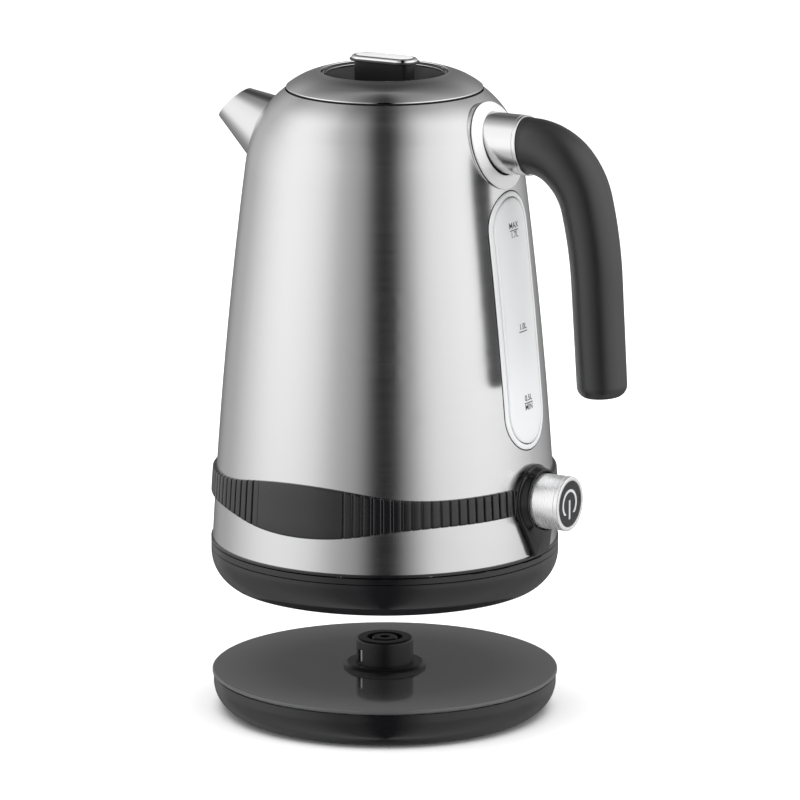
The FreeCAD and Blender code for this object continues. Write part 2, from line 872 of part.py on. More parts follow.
def make_heater():
    under = sheet.floor_rise - sheet.plate_thick
    plate = turned("HeatingPlate", [
        (0, under),
        (sheet.plate_radius + 2.6, under),
        (sheet.plate_radius + 2.6, sheet.floor_rise),
        (0, sheet.floor_rise),
    ])
    steam_x = 30
    steam_y = 42
    on_kettle(cut(plate, cylinder(4.1, 10, steam_x, steam_y, under - 2)), "heating_plate")
    seal = turned("PlateSeal", [
        (sheet.plate_radius + 2.7, under - 2),
        (sheet.plate_radius + 4.9, under - 2),
        (sheet.plate_radius + 4.9, sheet.floor_rise + 1),
        (sheet.plate_radius + 2.7, sheet.floor_rise + 1),
    ])
    on_kettle(seal, "plate_seal")

    tube = 3.6
    element = doc.addObject("Part::Torus", "Element")
    bind(element, Radius1=44, Radius2=tube)
    element.Angle3 = 320
    place(element, 0, 0, under - tube)
    on_kettle(element, "heating_element")
    cutout = turned("Cutout", [
        (0, under - 9),
        (14, under - 9),
        (16, under - 6),
        (16, under - 0.1),
        (0, under - 0.1),
    ])
    on_kettle(cutout, "boil_dry_cutout")

    pipe_low = under - 22
    pipe = cylinder(4, 205 - pipe_low, steam_x, steam_y, pipe_low)
    bore = cylinder(3.1, 220, steam_x, steam_y, pipe_low - 1)
    on_kettle(cut(pipe, bore), "steam_tube")


# ---------------------------------------------------------------- power button and trip lever

def make_button():
    rise = sheet.button_rise
    back = sheet.button_back
    face = sheet.button_face
    radius = sheet.button_radius
    rotate = Vector(0, 1, 0)
    barrel = turned("Knob", [
        (radius - 1.6, back),
        (radius, back),
        (radius, face - 0.7),
        (radius - 0.7, face),
        (radius - 1.8, face),
        (radius - 1.8, face - 3.4),
        (radius - 1.6, face - 3.4),
    ])
    place(barrel, 0, 0, rise, rotate, RIGHT_ANGLE)
    on_kettle(barrel, "power_knob")

    disc = turned("KnobDisc", [
        (0, face - 2.4),
        (radius - 1.9, face - 2.4),
        (radius - 1.9, face - 0.6),
        (0, face - 0.6),
    ])
    place(disc, 0, 0, rise, rotate, RIGHT_ANGLE)
    on_kettle(disc, "knob_disc")

    # the power mark: a ring left open below its centre, with a bar through the opening
    mark_radius = 6.1
    stroke = 1.2
    mark_high = 0.25
    outer = cylinder(mark_radius + stroke / 2, mark_high, face - 0.6, 0, rise, "X")
    inner = cylinder(mark_radius - stroke / 2, 2, face - 1.4, 0, rise, "X")
    opening = block(4, 3 * mark_radius, 8, face - 0.6, 0, rise - 12.6)
    arc = cut(cut(outer, inner), opening)
    bar = block(mark_high, stroke, 8.8, face - 0.6 + mark_high / 2, 0, rise - 7.1)
    on_kettle(group(arc, bar), "knob_mark")

    plunger = turned("Plunger", [
        (0, 60),
        (1.5, 60),
        (1.5, 64),
        (sheet.stem_radius, 66),
        (sheet.stem_radius, face - 4.6),
        (radius - 1.9, face - 4.6),
        (radius - 1.9, face - 2.5),
        (0, face - 2.5),
    ])
    place(plunger, 0, 0, rise, rotate, RIGHT_ANGLE)
    on_kettle(plunger, "knob_plunger")

    guide = turned("Guide", [
        (sheet.stem_radius + 0.06, 68),
        (6.4, 68),
        (6.4, 80),
        (sheet.stem_radius + 0.06, 80),
    ])
    wing = block(2, 26, 16, 70, 0, rise - 8)
    bore = cylinder(6.4, 20, 60, 0, rise, "X")
    place(guide, 0, 0, rise, rotate, RIGHT_ANGLE)
    on_kettle(fuse(guide, cut(wing, bore)), "button_guide")

    # the return boot, drawn at the length it has with the button pressed
    fold = 1.4
    skin = 0.7
    root = 80.6
    inside = [(6.2 + 1.2 * (step % 2), root + fold * step) for step in range(5)]
    outside = [(out + skin, along) for out, along in reversed(inside)]
    boot = turned("Boot", inside + outside)
    place(boot, 0, 0, rise, rotate, RIGHT_ANGLE)
    on_kettle(boot, "button_boot")


def make_trip_lever():
    pivot_out = 57
    pivot_rise = 34
    arm = block(3, 8, 17, 57.8, 0, pivot_rise)
    hub = cylinder(3.2, 8, pivot_out, -4, pivot_rise, "Y")
    bore = cylinder(1.56, 12, pivot_out, -6, pivot_rise, "Y")
    on_kettle(cut(fuse(arm, hub), bore), "trip_lever")
    on_kettle(cylinder(1.5, 14, pivot_out, -7, pivot_rise, "Y"), "lever_pin")
    ears = []
    for side in (-1, 1):
        ear = block(7, 2, 10.4, pivot_out, side * 6, 27.6)
        ears.append(ear)
    pin_hole = cylinder(1.5, 20, pivot_out, -10, pivot_rise, "Y")
    on_kettle(cut(group(*ears), pin_hole), "lever_bracket")


# ---------------------------------------------------------------- lid

def make_lid():
    edge = sheet.lid_radius
    edge_rise = sheet.lid_rise
    dish = sheet.dish_radius
    dish_rise = sheet.dish_rise
    skin = sheet.lid_skin
    bend = sheet.dome_curve
    shell = turned("LidShell", [
        (edge, edge_rise, bend),
        (dish, dish_rise),
        (dish, dish_rise - skin, 1 - SIZES["dome_curve"]),
        (edge - 0.7, edge_rise - 0.1),
    ])
    on_kettle(shell, "lid_shell")

    trim = turned("LidTrim", [
        (dish - 2.2, dish_rise - 2.5),
        (dish - 0.7, dish_rise - 2.5),
        (dish - 0.7, dish_rise - 0.1),
        (dish - 1.1, dish_rise + 0.4),
        (dish - 1.9, dish_rise + 0.4),
        (dish - 2.2, dish_rise - 0.1),
    ])
    on_kettle(trim, "lid_trim_ring")

    dish_floor = dish_rise - sheet.dish_depth
    cap_low = sheet.cap_top - sheet.cap_thick
    dish_inner = dish - 4.6
    cup = turned("LidDish", [
        (0, dish_floor - 1.6),
        (dish_inner + 1.4, dish_floor - 1.6),
        (dish - 0.7, dish_rise - 3.4),
        (dish - 0.7, dish_rise - 2.6),
        (dish - 2.3, dish_rise - 2.6),
        (dish - 2.3, dish_rise - 0.4),
        (dish_inner, dish_floor),
        (0, dish_floor),
    ])
    on_kettle(cup, "lid_dish")

    grip = block(sheet.grip_long, sheet.grip_wide, cap_low - dish_floor, 0, 0, dish_floor)
    on_kettle(soft_corners(grip, 3.5), "lid_grip")

    cap = block(sheet.cap_long, sheet.cap_wide, sheet.cap_thick, 0, 0, cap_low)
    rim = 2.0
    recess_floor = sheet.cap_top - 0.6
    recess = block(sheet.cap_long - 2 * rim, sheet.cap_wide - 2 * rim, rim, 0, 0, recess_floor)
    on_kettle(cut(soft_corners(cap, 7.0), soft_corners(recess, 5.0)), "grip_cap")
    rim = 2.1
    inlay = block(sheet.cap_long - 2 * rim, sheet.cap_wide - 2 * rim, 0.4, 0, 0, recess_floor)
    on_kettle(soft_corners(inlay, 4.9), "grip_inlay")

    plug = sheet.plug_radius
    plug_low = edge_rise - sheet.plug_depth
    groove = plug_low + 2.4
    neck = plug_low + 13
    liner = turned("LidLiner", [
        (0, plug_low),
        (plug, plug_low),
        (plug, groove),
        (plug - 1.6, groove),
        (plug - 1.6, groove + 3.2),
        (plug, groove + 3.2),
        (plug, neck),
        (plug + 3.2, neck + 1.4),
        (plug + 3.2, edge_rise - 0.4),
        (plug, edge_rise + 0.6),
        (plug - 2, edge_rise + 0.6),
        (plug - 3.2, neck),
        (plug - 3.2, plug_low + 1.6),
        (0, plug_low + 1.6),
    ])
    screw_circle = 18
    post_floor = plug_low + 1.6
    post_high = dish_floor - 1.8 - post_floor
    posts = [cut(cylinder(3.4, post_high, x, y, post_floor), cylinder(1.6, 10, x, y, plug_low + 3))
             for x, y in around(3, screw_circle, 90)]
    holes = [cylinder(1.7, 6, x, y, plug_low - 1) for x, y in around(3, screw_circle, 90)]
    on_kettle(cut(fuse(liner, *posts), fuse(*holes)), "lid_liner")
    gasket = turned("LidGasket", [
        (plug - 1.6, groove + 0.1),
        (plug, groove + 0.1),
        (plug + 1.1, groove + 1.0),
        (plug + 1.1, groove + 2.0),
        (plug, groove + 3.1),
        (plug - 1.6, groove + 3.1),
    ])
    on_kettle(gasket, "lid_gasket")
    screws = [screw(x, y, plug_low - 1.3, 1.55, 7, 3.0, 1.3) for x, y in around(3, screw_circle, 90)]
    on_kettle(group(*screws), "lid_screws")

    seat_inner = plug + 1.1 + CLEAR
    seat = turned("MouthRing", [
        (seat_inner, plug_low - 1),
        (seat_inner + 2, plug_low - 1),
        (seat_inner + 2, plug_low + 10),
        (seat_inner + 8, plug_low + 10),
        (seat_inner + 8, plug_low + 12.6),
        (seat_inner, plug_low + 12.6),
    ])
    on_kettle(common(seat, shell_core(sheet.shell_wall + 0.1)), "mouth_ring")


def write_parts():
    doc.recompute()
    problems = [item.Name for item in doc.Objects if "Invalid" in item.State or "Error" in item.State]
    if problems:
        raise RuntimeError(f"these objects failed: {problems}")
    os.makedirs("parts", exist_ok=True)
    for feature in finished:
        shape = feature.Shape
        if shape.isNull() or not shape.isValid() or shape.Volume < 1e-3:
            raise RuntimeError(f"{feature.Label} has no sound shape")
        shape.exportStep(f"parts/{feature.Label}.step")
    print(len(finished), "sub-parts written")


make_base()
make_connector()
make_shell()
make_spout()
make_window()
make_band()
make_handle()
make_underside()
make_control()
make_heater()
make_button()
make_trip_lever()
make_lid()
write_parts()
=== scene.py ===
"""Looks for the electric kettle: materials, detailed pieces, studio light and camera."""
import json
import math

import bmesh
import bpy
from mathutils import Matrix, Vector


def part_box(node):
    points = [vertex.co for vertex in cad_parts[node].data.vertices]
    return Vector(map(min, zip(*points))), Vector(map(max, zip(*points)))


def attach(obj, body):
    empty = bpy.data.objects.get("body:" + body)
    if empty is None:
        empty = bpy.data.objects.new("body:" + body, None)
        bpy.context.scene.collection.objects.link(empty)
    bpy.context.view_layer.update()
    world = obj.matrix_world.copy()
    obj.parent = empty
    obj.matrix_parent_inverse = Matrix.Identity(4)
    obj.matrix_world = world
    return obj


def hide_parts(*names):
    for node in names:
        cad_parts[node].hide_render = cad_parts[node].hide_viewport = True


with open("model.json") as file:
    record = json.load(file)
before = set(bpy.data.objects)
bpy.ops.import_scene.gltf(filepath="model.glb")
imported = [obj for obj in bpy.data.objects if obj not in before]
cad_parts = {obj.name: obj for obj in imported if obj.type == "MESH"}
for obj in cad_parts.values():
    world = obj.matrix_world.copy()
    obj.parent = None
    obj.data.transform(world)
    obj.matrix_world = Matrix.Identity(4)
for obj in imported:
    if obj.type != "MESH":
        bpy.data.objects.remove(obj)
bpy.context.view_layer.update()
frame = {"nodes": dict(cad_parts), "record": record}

MM = 0.001
TURN = 2 * math.pi


# ---------------------------------------------------------------- places, read from the frame

def low(node):
    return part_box(node)[0]


def high(node):
    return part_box(node)[1]


KETTLE_BOTTOM = low("bottom_cup").z
SEAM = low("body_shell").z
SEAM_RADIUS = high("body_shell").y
MOUTH = high("body_shell").z
BUTTON_RISE = (low("power_knob").z + high("power_knob").z) / 2
BUTTON_FACE = high("power_knob").x
BUTTON_BACK = low("power_knob").x
BUTTON_RADIUS = high("power_knob").y
BAND_MIDDLE = (low("side_band").z + high("side_band").z) / 2
HANDLE_RISE = KETTLE_BOTTOM + 208.8 * MM
SLEEVE_END = 74.9 * MM


# ---------------------------------------------------------------- material graphs

class Nodes:
    """A short way to write a tree of nodes."""

    def __init__(self, tree):
        self.tree = tree

    def add(self, kind, settings=None, **inputs):
        node = self.tree.nodes.new(kind)
        for name, value in (settings or {}).items():
            setattr(node, name, value)
        for name, value in inputs.items():
            self.put(node, name.replace("_", " "), value)
        return node

    def put(self, node, name, value):
        """Set an input, found by its name or as i0, i1 and so on, or link it to an output."""
        socket = node.inputs[int(name[1:])] if name[1:].isdigit() else node.inputs[name]
        if isinstance(value, bpy.types.NodeSocket):
            self.tree.links.new(value, socket)
        else:
            socket.default_value = value

    def math(self, operation, a, b=0.0):
        return self.add("ShaderNodeMath", {"operation": operation}, i0=a, i1=b).outputs["Value"]


class Graph(Nodes):
    """The nodes of a new material."""

    def __init__(self, name):
        self.material = bpy.data.materials.new(name)
        self.material.use_nodes = True
        super().__init__(self.material.node_tree)
        self.shader = self.tree.nodes["Principled BSDF"]

    def surface(self, **values):
        for name, value in values.items():
            self.put(self.shader, name.replace("_", " "), value)

    def place(self):
        """A piece's own coordinates."""
        return self.add("ShaderNodeTexCoord").outputs["Object"]

    def noise(self, vector, scale, detail=3.0, roughness=0.55):
        return self.add("ShaderNodeTexNoise", Vector=vector, Scale=scale, Detail=detail,
                        Roughness=roughness).outputs["Fac"]

    def spread(self, value, low_end, high_end):
        """Turn a 0 to 1 value into a range."""
        return self.add("ShaderNodeMapRange", Value=value, To_Min=low_end,
                        To_Max=high_end).outputs["Result"]

    def bump(self, height, strength, distance):
        made = self.add("ShaderNodeBump", Height=height, Strength=strength, Distance=distance)
        return made.outputs["Normal"]


def brushed(name, color, roughness, lines_along, spin_axis, strength, metallic=1.0):
    """Steel with fine lines that run around an axis; lines_along maps a place to the noise."""
    graph = Graph(name)
    here = graph.place()
    split = graph.add("ShaderNodeSeparateXYZ", Vector=here).outputs
    grain = graph.noise(lines_along(graph, split), 1.0, 4.0, 0.65)
    cloud = graph.noise(here, 22.0, 2.0)
    tone = graph.add("ShaderNodeMix", {"data_type": "RGBA"}, Factor=grain)
    tone.inputs["A"].default_value = (color * 0.94, color * 0.94, color * 0.945, 1)
    tone.inputs["B"].default_value = (color, color, color * 0.998, 1)
    rough = graph.math("ADD", graph.spread(grain, roughness * 0.8, roughness * 1.25),
                       graph.spread(cloud, -0.015, 0.015))
    tangent = graph.add("ShaderNodeTangent", {"direction_type": "RADIAL", "axis": spin_axis})
    graph.surface(Base_Color=tone.outputs["Result"], Metallic=metallic, Roughness=rough,
                  Anisotropic=0.75, Tangent=tangent.outputs["Tangent"],
                  Normal=graph.bump(grain, strength, 0.00004))
    return graph.material


def lines_round_z(graph, split):
    """Lines round the kettle's own axis, on its wall as well as on its lid."""
    fine = 1500.0
    reach = graph.math("SQRT", graph.math("ADD", graph.math("POWER", split["X"], 2.0),
                                          graph.math("POWER", split["Y"], 2.0)))
    across = graph.math("ADD", graph.math("MULTIPLY", split["X"], 14.0),
                        graph.math("MULTIPLY", reach, fine))
    return graph.add("ShaderNodeCombineXYZ", X=across, Y=graph.math("MULTIPLY", split["Y"], 14.0),
                     Z=graph.math("MULTIPLY", split["Z"], fine)).outputs["Vector"]


def lines_round_x(graph, split):
    """Lines round a piece that points along X."""
    return graph.add("ShaderNodeCombineXYZ", X=graph.math("MULTIPLY", split["X"], 1500.0),
                     Y=graph.math("MULTIPLY", split["Y"], 30.0),
                     Z=graph.math("MULTIPLY", split["Z"], 30.0)).outputs["Vector"]


def polished(name, color=0.92, roughness=0.05):
    """Mirror-like metal with faint smears."""
    graph = Graph(name)
    smear = graph.noise(graph.place(), 60.0, 3.0)
    graph.surface(Base_Color=(color, color, color, 1), Metallic=1.0,
                  Roughness=graph.spread(smear, roughness * 0.6, roughness * 1.6))
    return graph.material


def plain_metal(name, color, roughness=0.32, metallic=1.0):
    """Metal with an even fine grain."""
    graph = Graph(name)
    grain = graph.noise(graph.place(), 900.0, 3.0)
    graph.surface(Base_Color=(*color, 1), Metallic=metallic,
                  Roughness=graph.spread(grain, roughness * 0.8, roughness * 1.2),
                  Normal=graph.bump(grain, 0.06, 0.00005))
    return graph.material


def moulded(name, color, roughness, grain_scale=1400.0, strength=0.05, coat=0.0, ior=1.5):
    """Plastic with a fine moulded grain and a little unevenness in its gloss."""
    graph = Graph(name)
    grain = graph.noise(graph.place(), grain_scale, 2.0)
    cloud = graph.noise(graph.place(), 35.0, 3.0)
    tone = graph.add("ShaderNodeMix", {"data_type": "RGBA"}, Factor=cloud)
    tone.inputs["A"].default_value = (*[c * 0.9 for c in color], 1)
    tone.inputs["B"].default_value = (*[c * 1.1 for c in color], 1)
    graph.surface(Base_Color=tone.outputs["Result"], IOR=ior,
                  Roughness=graph.spread(cloud, roughness * 0.88, roughness * 1.14),
                  Coat_Weight=coat, Coat_Roughness=0.04,
                  Normal=graph.bump(grain, strength, 0.00004))
    return graph.material


def clear_plastic(name):
    """Pale plastic that lets little light through."""
    graph = Graph(name)
    cloud = graph.noise(graph.place(), 40.0, 2.0)
    graph.surface(Base_Color=(0.92, 0.93, 0.94, 1), IOR=1.49, Transmission_Weight=0.1,
                  Roughness=graph.spread(cloud, 0.10, 0.14), Coat_Weight=0.4, Coat_Roughness=0.03)
    return graph.material


STEEL = brushed("brushed_steel", 0.76, 0.165, lines_round_z, "Z", 0.06)
STEEL_X = brushed("brushed_steel_x", 0.93, 0.17, lines_round_x, "X", 0.04)
SATIN_STEEL = plain_metal("satin_steel", (0.99, 0.99, 0.985), 0.40, 0.5)
KNOB_STEEL = brushed("knob_steel", 0.99, 0.26, lines_round_x, "X", 0.012, 0.75)
CHROME = polished("polished_steel")
PLAIN = plain_metal("plain_steel", (0.60, 0.60, 0.59))
COPPER = plain_metal("contact_metal", (0.76, 0.60, 0.34), 0.25)
GLOSS = moulded("gloss_black", (0.008, 0.008, 0.009), 0.09, strength=0.0, coat=0.3)
SOFT = moulded("soft_touch_black", (0.010, 0.010, 0.011), 0.36, 2200.0, 0.12, ior=1.75)
SATIN = moulded("satin_black", (0.015, 0.015, 0.016), 0.36, 1600.0, 0.08)
BASE_GLOSS = moulded("base_gloss", (0.082, 0.082, 0.084), 0.10, strength=0.0, coat=0.3)
INNER = moulded("inner_plastic", (0.07, 0.07, 0.072), 0.45)
CLEAR = clear_plastic("clear_window")
MARK = moulded("mark_grey", (0.62, 0.64, 0.66), 0.3)
PRINT = moulded("print_grey", (0.03, 0.03, 0.033), 0.6)
# flat near-black used as painted shade: dark rings laid in the gaps round the sleeve, the flange, the
# lid and the window
SHADOW = moulded("painted_gap_shade", (0.004, 0.004, 0.004), 0.8, strength=0.0)
SILICONE = moulded("silicone", (0.42, 0.42, 0.41), 0.5)
RUBBER = moulded("rubber", (0.018, 0.018, 0.018), 0.7, 900.0, 0.2)

SLOT_LOOKS = {
    "steel_body": STEEL,
    "steel_bright": CHROME,
    "steel_plain": PLAIN,
    "black_gloss": GLOSS,
    "black_soft": SOFT,
    "black_satin": SATIN,
    "base_gloss": BASE_GLOSS,
    "inner_plastic": INNER,
    "clear": CLEAR,
    "mark": MARK,
    "silicone": SILICONE,
    "rubber": RUBBER,
    "copper_alloy": COPPER,
}


def dress_frame():
    """Every CAD node takes the look of its slot, but for two with a look of their own."""
    for part in frame["record"]["subparts"]:
        look = SLOT_LOOKS[part["material_slot"]]
        for slot in frame["nodes"][part["node"]].material_slots:
            slot.material = look
    for node, look in (("handle_collar", SATIN_STEEL), ("contact_blades", PLAIN)):
        for slot in frame["nodes"][node].material_slots:
            slot.material = look


# ---------------------------------------------------------------- mesh helpers

# an edge that turns by more than this stays sharp on the pieces with fine steps
FINE_ANGLE = 50.0


def finish_piece(name, mesh, look, body, replaced=()):
    """Put a mesh in the scene as a piece of the object, in place of any CAD nodes named."""
    piece = bpy.data.objects.new(name, mesh)
    bpy.context.collection.objects.link(piece)
    mesh.materials.append(look)
    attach(piece, body)
    if replaced:
        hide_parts(*replaced)


def mesh_from(name, points, faces, smooth_angle=40.0):
    """A mesh with smooth shading, but for edges that turn by more than an angle."""
    mesh = bpy.data.meshes.new(name)
    mesh.from_pydata([tuple(point) for point in points], [], faces)
    work = bmesh.new()
    work.from_mesh(mesh)
    bmesh.ops.remove_doubles(work, verts=work.verts, dist=1e-7)
    bmesh.ops.recalc_face_normals(work, faces=work.faces)
    work.to_mesh(mesh)
    work.free()
    mesh.shade_smooth()
    mesh.set_sharp_from_angle(angle=math.radians(smooth_angle))
    return mesh


def rounded(corners, steps=5):
    """A closed outline whose corners (across, up, radius) are rounded."""
    result = []
    count = len(corners)
    for index, corner in enumerate(corners):
        here = Vector(corner[:2])
        radius = corner[2] if len(corner) > 2 else 0.0
        if radius <= 0:
            result.append(here)
            continue
        before = Vector(corners[index - 1][:2]) - here
        after = Vector(corners[(index + 1) % count][:2]) - here
        half = before.angle(after) / 2
        cut = min(radius / math.tan(half), before.length * 0.49, after.length * 0.49)
        start = here + before.normalized() * cut
        end = here + after.normalized() * cut
        for step in range(steps + 1):
            t = step / steps
            result.append(start * (1 - t) ** 2 + here * 2 * t * (1 - t) + end * t * t)
    return result


def lathe(name, outline, look, body, replaced=(), segments=160, place=None):
    """Turn a closed outline of (radius, height) points about Z, then place it."""
    place = place or Matrix()
    points = []
    for step in range(segments):
        angle = TURN * step / segments
        for radius, height in outline:
            spot = Vector((radius * math.cos(angle), radius * math.sin(angle), height))
            points.append(place @ spot)
    count = len(outline)
    faces = []
    for step in range(segments):
        here = step * count
        there = ((step + 1) % segments) * count
        for index in range(count):
            following = (index + 1) % count
            if outline[index][0] < 1e-6 and outline[following][0] < 1e-6:
                continue
            faces.append((here + index, there + index, there + following, here + following))
    finish_piece(name, mesh_from(name, points, faces), look, body, replaced)


def facing_x(out, rise, fall=0.0):
    """The place of a piece turned about Z so that it points along +X, falling by an angle."""
    turn = Matrix.Rotation(math.pi / 2 + math.radians(fall), 4, "Y")
    return Matrix.Translation((out, 0, rise)) @ turn


def stack_rings(rings, closed_ends=True):
    """Faces that join equal rings of points, one after another."""
    count = len(rings[0])
    points = [point for ring in rings for point in ring]
    faces = []
    for row in range(len(rings) - 1):
        for index in range(count):
            following = (index + 1) % count
            faces.append((row * count + index, row * count + following,
                          (row + 1) * count + following, (row + 1) * count + index))
    if closed_ends:
        faces.append(tuple(range(count)))
        faces.append(tuple(range(len(points) - count, len(points))))
    return points, faces


# ---------------------------------------------------------------- the wall's curve

def arc_points(start, end, radius, steps):
    """Points along the short arc that bulges outwards, without its last point."""
    chord = end - start
    middle = (start + end) / 2
    inwards = Vector((-chord.y, chord.x)).normalized()
    centre = middle + inwards * math.sqrt(radius ** 2 - chord.length ** 2 / 4)
    first = start - centre
    sweep = first.angle_signed(end - centre)
    return [centre + Matrix.Rotation(-sweep * step / steps, 2) @ first for step in range(steps)]


SIDE_BEND = 2.38
SHOULDER_BEND = 76.6 * MM
COLLAR_BEND = 44.5 * MM


def wall_curve():
    """The outer wall from the seam to the mouth, as (radius, height)."""
    seam = Vector((SEAM_RADIUS, SEAM))
    shoulder = Vector((63.4 * MM, KETTLE_BOTTOM + 193.4 * MM))
    collar = Vector((58.6 * MM, KETTLE_BOTTOM + 212.0 * MM))
    mouth = Vector((45.2 * MM, MOUTH))
    points = arc_points(seam, shoulder, SIDE_BEND, 60)
    points += arc_points(shoulder, collar, SHOULDER_BEND, 10)
    points += arc_points(collar, mouth, COLLAR_BEND, 16)
    return points + [mouth]


WALL = wall_curve()


def wall_radius(height):
    """The outer wall's radius at a height."""
    for lower, upper in zip(WALL, WALL[1:]):
        if height <= upper.y:
            share = max(0.0, (height - lower.y) / (upper.y - lower.y))
            return lower.x + (upper.x - lower.x) * share
    return WALL[-1].x


# ---------------------------------------------------------------- ribbed band

BAND_HALF = 6.0 * MM
BAND_SWELL = 6.1 * MM
BAND_PROUD = 1.85 * MM
SWELL_SPAN = 66.0 * MM
RIB_COUNT = 112
RIB_DEPTH = 0.9 * MM
SMOOTH_HALF = math.radians(15.6)
# half the angle at the button where the band has no columns of points
BAND_OPENING = math.radians(11)
BEZEL_RADIUS = 16.2 * MM
# one rib as (share of its pitch, depth as a share of the groove's)
RIB_PROFILE = [(0.0, 1.0), (0.13, 1.0), (0.15, 0.35), (0.20, 0.05), (0.30, 0.0),
               (0.60, 0.0), (0.85, 0.0), (0.93, 0.05), (0.98, 0.35)]
# across the band: (distance in from its edge, proud of the wall), both in metres
BAND_EDGE = [(0.0, -0.3 * MM), (0.0, 1.0 * MM), (0.15 * MM, 1.5 * MM),
             (0.5 * MM, 1.8 * MM), (1.1 * MM, BAND_PROUD)]


def band_half(x):
    """Half of the band's height, which swells in the middle of each side."""
    half_span = SWELL_SPAN / 2
    bend = (half_span ** 2 + (BAND_SWELL / 2) ** 2) / BAND_SWELL
    out = abs(x)
    if out >= SWELL_SPAN:
        return BAND_HALF
    if out >= half_span:
        return BAND_HALF + bend - math.sqrt(bend ** 2 - (SWELL_SPAN - out) ** 2)
    return BAND_HALF + BAND_SWELL - bend + math.sqrt(bend ** 2 - out ** 2)


def rib_columns():
    """Angles round the kettle, from +X, each with its groove depth."""
    pitch = TURN / RIB_COUNT
    columns = []
    for rib in range(RIB_COUNT):
        middle = (rib + 0.5) * pitch
        off_side = min(abs(middle - TURN / 4), abs(middle - 3 * TURN / 4))
        for share, depth in RIB_PROFILE:
            depth = 0.0 if off_side < SMOOTH_HALF else depth
            columns.append(((rib + share) * pitch, depth * RIB_DEPTH))
    return columns


def add_band():
    """The band round the kettle, one ring of points for each column."""
    rings = []
    for angle, depth in rib_columns():
        if min(angle, TURN - angle) < BAND_OPENING:
            continue
        half = band_half(SEAM_RADIUS * math.cos(angle))
        rows = [(-half + inset, proud) for inset, proud in BAND_EDGE]
        rows += [(half * share, BAND_PROUD) for share in (-0.5, 0.0, 0.5)]
        rows += [(half - inset, proud) for inset, proud in reversed(BAND_EDGE)]
        ring = []
        for rise, proud in rows:
            height = BAND_MIDDLE + rise
            radius = wall_radius(height) + (proud - depth if proud > 0 else proud)
            # the ends follow the round edge of the button's bezel
            off_button = height - BUTTON_RISE
            gap = math.sqrt(max(0.0, (BEZEL_RADIUS + 0.1 * MM) ** 2 - off_button ** 2))
            least = math.asin(gap / radius)
            turn = min(max(angle, least), TURN - least)
            ring.append((radius * math.cos(turn), radius * math.sin(turn), height))
        rings.append(ring)
    points, faces = stack_rings(rings)
    finish_piece("band_ribbed", mesh_from("band_ribbed", points, faces, FINE_ANGLE), GLOSS, "kettle",
                 ["side_band"])


# ---------------------------------------------------------------- bezel and button

# half the width of the bezel's foot on the seam, on the -Y side and on the +Y side
BEZEL_FOOT_NEAR = 5.0 * MM
BEZEL_FOOT_FAR = 9.0 * MM
# where the straight sides leave the circle, across and down, as shares of its radius
BEZEL_SHOULDER = (0.82, 0.5724)
# from the outer edge inwards: (distance from the edge, proud of the wall), millimetres
BEZEL_BEVEL = [(0.0, -0.3), (0.0, 1.8), (0.1, 2.3), (0.3, 2.7), (0.55, 2.95), (0.8, 3.1)]
# round the hole: (radius, proud of the wall), millimetres
BEZEL_DISH = [(14.4, 6.4), (14.2, 6.7), (14.0, 6.75), (13.9, 6.35), (13.7, 6.35), (13.6, 6.7),
              (13.4, 6.7), (13.3, 6.4), (13.1, 5.0), (12.9, 4.0), (12.9, -0.3)]


def bezel_reach(angle):
    """Distance from the button's axis to the bezel's outline, and how slanted the edge is."""
    y_way = math.cos(angle)
    z_way = math.sin(angle)
    across = BEZEL_RADIUS * BEZEL_SHOULDER[0]
    rise = BEZEL_RADIUS * BEZEL_SHOULDER[1]
    drop = BUTTON_RISE - SEAM
    if z_way > -rise / BEZEL_RADIUS:
        return BEZEL_RADIUS, 1.0
    # a straight side from the circle down to the seam, or the level edge along the seam
    foot = BEZEL_FOOT_FAR if y_way > 0 else BEZEL_FOOT_NEAR
    slope = (across - foot) / (drop - rise)
    side = (across + rise * slope) / (abs(y_way) - z_way * slope)
    floor = drop / -z_way
    if floor < side:
        return floor, 1 / -z_way
    tilt = math.atan(slope)
    lean = abs(y_way) * math.cos(tilt) - z_way * math.sin(tilt)
    return side, 1 / lean


def bezel_ring(angle):
    """Points from the bezel's outer edge to its hole, in one direction from the button's axis."""
    reach, slant = bezel_reach(angle)
    rows = [(reach - inset * MM * slant, proud) for inset, proud in BEZEL_BEVEL]
    edge, edge_proud = rows[-1]
    rim, rim_proud = BEZEL_DISH[0]
    # from the bevel the face climbs to the rim round the button's hole
    rows += [(edge + (rim * MM - edge) * share, edge_proud + (rim_proud - edge_proud) * share)
             for share in (0.25, 0.5, 0.75)]
    rows += [(radius * MM, proud) for radius, proud in BEZEL_DISH]
    ring = []
    for radius, proud in rows:
        across = radius * math.cos(angle)
        height = BUTTON_RISE + radius * math.sin(angle)
        out = math.sqrt((wall_radius(height) + proud * MM) ** 2 - across ** 2)
        ring.append((out, across, height))
    return ring


def add_bezel():
    """The gloss bezel round the button, which runs down to the seam."""
    steps = 240
    rings = [bezel_ring(TURN * step / steps) for step in range(steps)]
    points, faces = stack_rings(rings + [rings[0]], closed_ends=False)
    finish_piece("bezel_shaped", mesh_from("bezel_shaped", points, faces, FINE_ANGLE), GLOSS, "kettle",
                 ["switch_bezel"])


BUTTON_WALL = 1.85 * MM
BUTTON_GROOVE = 0.35 * MM


